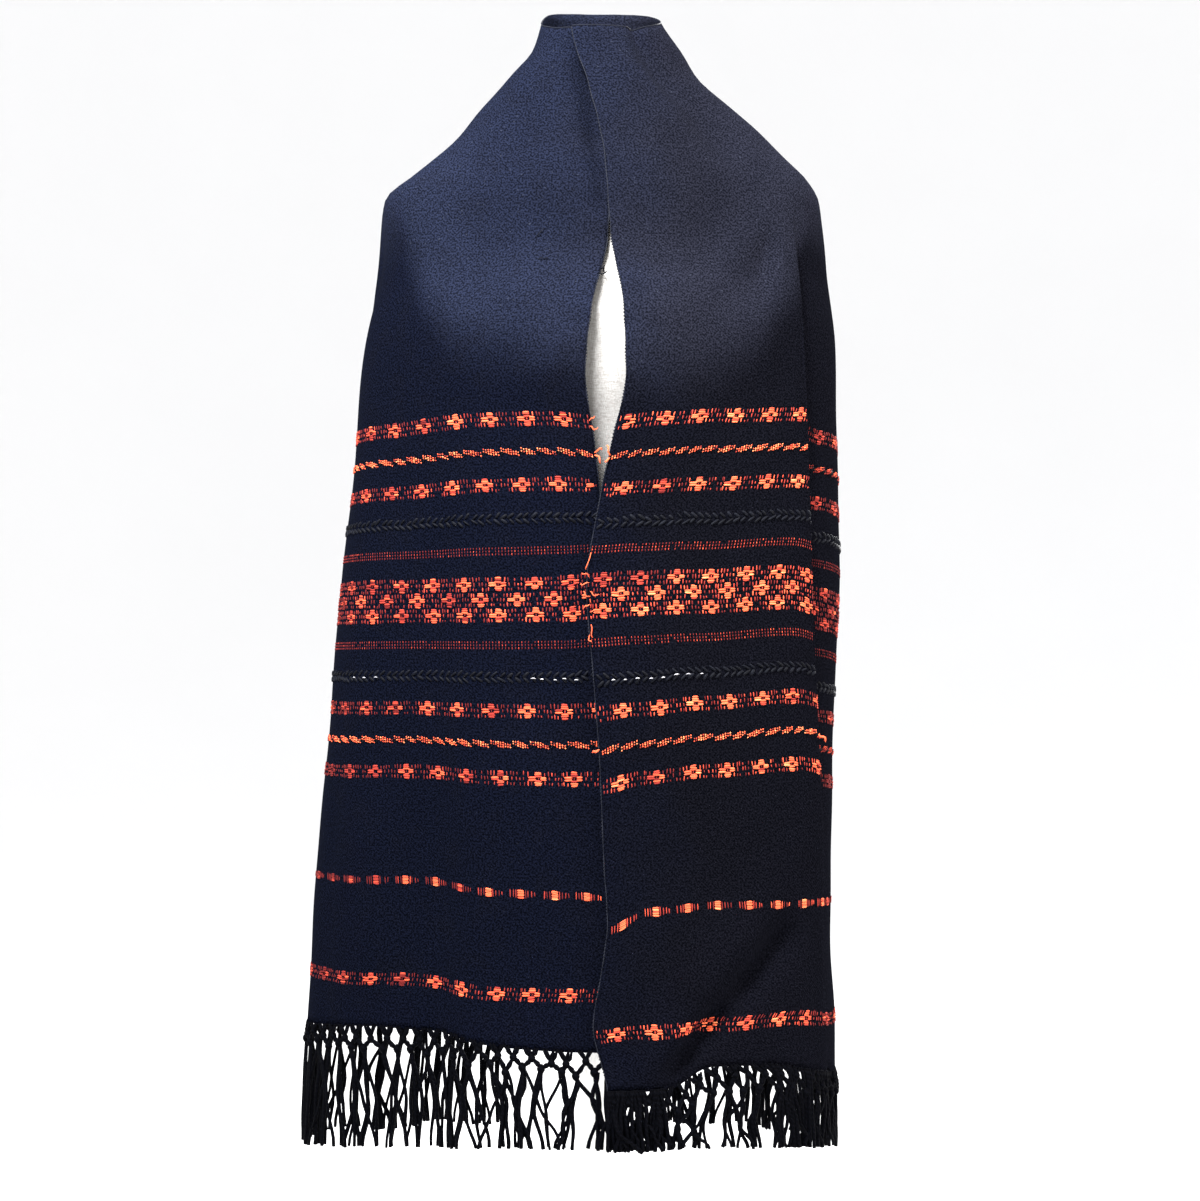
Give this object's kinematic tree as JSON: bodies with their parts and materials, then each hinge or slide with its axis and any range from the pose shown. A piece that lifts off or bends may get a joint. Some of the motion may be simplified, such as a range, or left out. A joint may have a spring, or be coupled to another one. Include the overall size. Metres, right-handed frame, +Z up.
{
  "type": "rebozo shawl on a dress form",
  "caption": "Handwoven rebozo with brocade bands and knotted fringe, worn round the neck of a limbless linen dress form on a stand.",
  "frame": {"origin": "centre of the stand's underside, on the floor and on the pole's axis", "axes": "+Z up; the front, with both falls, faces -Y; +X to the right of somebody looking at the front"},
  "size_m": [0.5318, 0.36, 1.496],
  "materials": {
    "shawl_cloth": "matt handwoven cotton",
    "brocade_yarn": "soft twisted cotton yarn",
    "fringe_yarn": "matt twisted cotton",
    "form_linen": "plain linen cover",
    "stand_enamel": "satin white enamel"
  },
  "bodies": {
    "root": {"shawl_fall_left": "shawl_cloth", "shawl_fall_right": "shawl_cloth", "shawl_back": "shawl_cloth", "fringe_left": "fringe_yarn", "fringe_right": "fringe_yarn", "form_torso": "form_linen", "stand_pole": "stand_enamel", "stand_base": "stand_enamel"}
  },
  "joints": []
}
